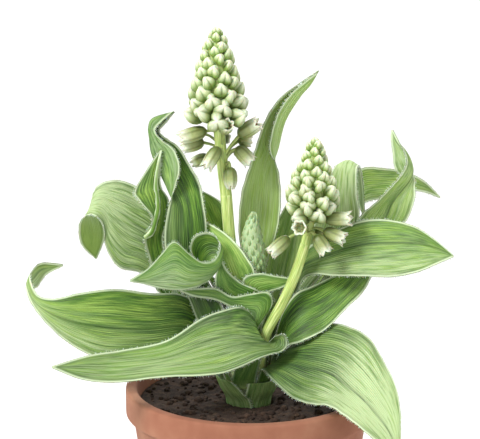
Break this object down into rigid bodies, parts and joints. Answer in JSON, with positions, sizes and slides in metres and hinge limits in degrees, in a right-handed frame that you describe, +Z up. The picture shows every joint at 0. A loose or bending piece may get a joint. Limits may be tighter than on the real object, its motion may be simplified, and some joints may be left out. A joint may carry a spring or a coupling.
{
  "type": "potted bellevalia kurdistanica",
  "caption": "Potted bulb plant with broad waved strap leaves, two scapes with conical racemes of small bell flowers and one young scape in bud, in a plain round clay pot.",
  "frame": {"origin": "centre of the pot's flat underside", "axes": "+Z up along the pot, +Y away from the front view, +X to the right of the front view"},
  "size_m": [0.209, 0.1315, 0.2962],
  "materials": {
    "pot": "plain unglazed clay",
    "soil": "rough, dark potting earth",
    "bulb": "matte papery tunic",
    "sheath": "satin, fleshy",
    "leaf": "satin, waxy",
    "scape": "satin, fleshy",
    "flowers": "satin, waxy petals",
    "young_buds": "satin, waxy scales"
  },
  "bodies": {
    "root": {"pot": "pot", "soil": "soil", "scape_a": "scape", "scape_b": "scape", "scape_c": "scape", "bulb": "bulb", "sheath_right": "sheath", "sheath_left": "sheath", "leaf_front_left": "leaf", "leaf_low_left": "leaf", "leaf_trumpet": "leaf", "leaf_arched_left": "leaf", "leaf_pointed_left": "leaf", "leaf_tall_left": "leaf", "leaf_behind_scape": "leaf", "leaf_centre_up": "leaf", "leaf_centre_left": "leaf", "leaf_centre_low": "leaf", "leaf_centre_right": "leaf", "leaf_tall_right": "leaf", "leaf_behind_left": "leaf", "leaf_bent_back": "leaf", "leaf_back_right": "leaf", "leaf_twisted_right": "leaf", "leaf_right": "leaf", "leaf_right_under": "leaf", "leaf_drooping": "leaf", "raceme_a": "flowers", "raceme_b": "flowers", "raceme_c": "young_buds"}
  },
  "joints": []
}
